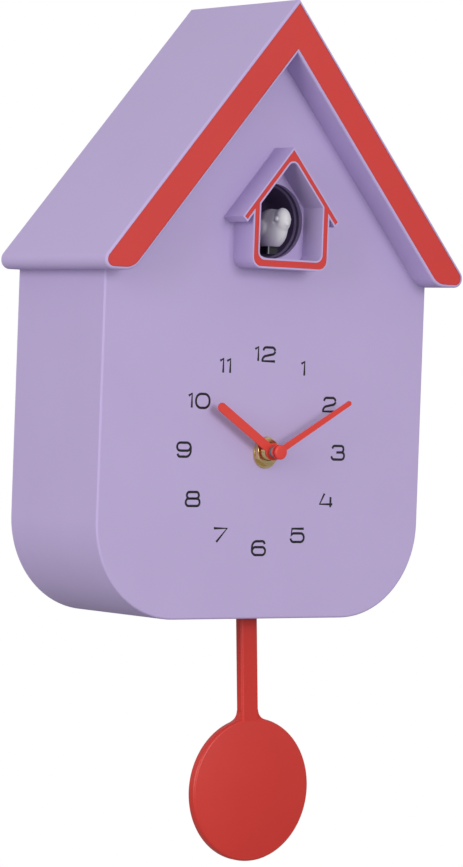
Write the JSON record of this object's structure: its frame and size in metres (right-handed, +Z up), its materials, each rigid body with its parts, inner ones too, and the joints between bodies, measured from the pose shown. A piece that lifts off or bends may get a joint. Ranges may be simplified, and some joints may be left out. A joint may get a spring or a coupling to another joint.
{
  "type": "cuckoo clock",
  "caption": "House-shaped wall clock with an overhanging gabled roof, a small bird house with a sliding bird, red hands and a flat disc pendulum.",
  "frame": {"origin": "centre of the hanging keyhole, on the wall plane", "axes": "+Z up, front of the clock towards -Y, +X to the right seen from the front"},
  "size_m": [0.2082, 0.084, 0.402],
  "materials": {
    "lilac_plastic": "fine matt moulded texture",
    "red_plastic": "satin moulded",
    "red_enamel": "satin powder coat",
    "dark_plastic": "matt moulded",
    "white_plastic": "matt moulded",
    "black_plastic": "satin moulded",
    "grey_plastic": "satin moulded",
    "brass": "bright plated",
    "steel": "bright",
    "rubber": "matt",
    "magnet": "dark nickel",
    "copper_coil": "enamelled wire",
    "circuit_green": "solder mask",
    "speaker_paper": "pressed paper",
    "battery_jacket": "plain shrink sleeve"
  },
  "bodies": {
    "casing": {"front_housing": "lilac_plastic", "roof_shell": "lilac_plastic", "roof_trim": "red_plastic", "back_cover": "lilac_plastic", "cover_screws": "steel", "birdhouse_frame": "lilac_plastic", "birdhouse_trim": "red_plastic", "bird_chamber": "dark_plastic", "sled_guide": "black_plastic", "mechanism_bracket": "black_plastic", "drive_axle": "steel", "bird_motor": "steel", "movement_case": "black_plastic", "movement_cover": "black_plastic", "threaded_bush": "brass", "rubber_washer": "rubber", "brass_washer": "brass", "hex_nut": "brass", "motion_stud": "steel", "stator": "steel", "stepper_coil": "copper_coil", "drive_coil": "copper_coil", "pivot_pin": "steel", "pivot_clip": "steel", "speaker_frame": "black_plastic", "speaker_cone": "speaker_paper", "speaker_magnet": "magnet", "circuit_board": "circuit_green", "board_posts": "black_plastic", "board_components": "black_plastic", "switch_body": "black_plastic", "battery_box": "black_plastic", "batteries": "battery_jacket", "battery_contacts": "steel"},
    "pendulum": {"pendulum_hanger": "black_plastic", "drive_magnet": "magnet", "pendulum": "red_plastic"},
    "minute_hand": {"minute_arbor": "grey_plastic", "minute_hand": "red_enamel", "centre_cap": "red_enamel"},
    "hour_hand": {"hour_wheel": "grey_plastic", "hour_hand": "red_enamel"},
    "motion_wheel": {"motion_wheel": "grey_plastic"},
    "third_wheel": {"third_wheel": "grey_plastic"},
    "rotor": {"rotor": "magnet"},
    "setting_knob": {"setting_knob": "black_plastic"},
    "bird_slide": {"bird": "white_plastic", "bird_sled": "black_plastic", "bird_pin": "steel"},
    "drive_gear": {"drive_gear": "grey_plastic"},
    "motor_pinion": {"motor_pinion": "brass"},
    "switch_slider": {"switch_slider": "black_plastic"},
    "battery_cover": {"battery_cover": "lilac_plastic"}
  },
  "joints": [
    {"name": "pendulum_swing", "type": "hinge", "parent": "casing", "child": "pendulum", "pos_m": [0, -0.051, -0.114], "axis": [0, 1, 0], "range_deg": [-2.6, 9.3]},
    {"name": "minute_hand_turn", "type": "hinge", "parent": "casing", "child": "minute_hand", "pos_m": [0, -0.069, -0.15], "axis": [0, 1, 0], "continuous": true},
    {"name": "hour_hand_turn", "type": "hinge", "parent": "casing", "child": "hour_hand", "pos_m": [0, -0.069, -0.15], "axis": [0, 1, 0], "continuous": true},
    {"name": "motion_wheel_turn", "type": "hinge", "parent": "casing", "child": "motion_wheel", "pos_m": [0.0125, -0.0605, -0.15], "axis": [0, 1, 0], "continuous": true},
    {"name": "third_wheel_turn", "type": "hinge", "parent": "casing", "child": "third_wheel", "pos_m": [-0.00891, -0.0569, -0.15891], "axis": [0, 1, 0], "continuous": true},
    {"name": "rotor_turn", "type": "hinge", "parent": "casing", "child": "rotor", "pos_m": [-0.01629, -0.0605, -0.16629], "axis": [0, 1, 0], "continuous": true},
    {"name": "setting_knob_turn", "type": "hinge", "parent": "casing", "child": "setting_knob", "pos_m": [0.01875, -0.005, -0.13917], "axis": [0, 1, 0], "continuous": true},
    {"name": "bird_out", "type": "slide", "parent": "casing", "child": "bird_slide", "axis": [0, -1, 0], "range_m": [0, 0.016]},
    {"name": "drive_gear_turn", "type": "hinge", "parent": "casing", "child": "drive_gear", "pos_m": [0, -0.031, -0.0644], "axis": [1, 0, 0], "range_deg": [0, 155]},
    {"name": "motor_pinion_turn", "type": "hinge", "parent": "casing", "child": "motor_pinion", "pos_m": [0.005, -0.031, -0.0744], "axis": [1, 0, 0], "range_deg": [-465, 0]},
    {"name": "sound_switch_slide", "type": "slide", "parent": "casing", "child": "switch_slider", "axis": [1, 0, 0], "range_m": [-0.003, 0.003]},
    {"name": "battery_cover_off", "type": "slide", "parent": "casing", "child": "battery_cover", "axis": [0, 1, 0], "range_m": [0, 0.03]}
  ],
  "couplings": [
    {"joint": "hour_hand_turn", "follows": "minute_hand_turn", "ratio": 0.083333},
    {"joint": "motion_wheel_turn", "follows": "minute_hand_turn", "ratio": -0.33333},
    {"joint": "third_wheel_turn", "follows": "minute_hand_turn", "ratio": -6},
    {"joint": "rotor_turn", "follows": "minute_hand_turn", "ratio": 37.5},
    {"joint": "setting_knob_turn", "follows": "minute_hand_turn", "ratio": 1},
    {"joint": "drive_gear_turn", "follows": "bird_out", "rad_per_m": 166.67},
    {"joint": "motor_pinion_turn", "follows": "bird_out", "rad_per_m": -500}
  ]
}
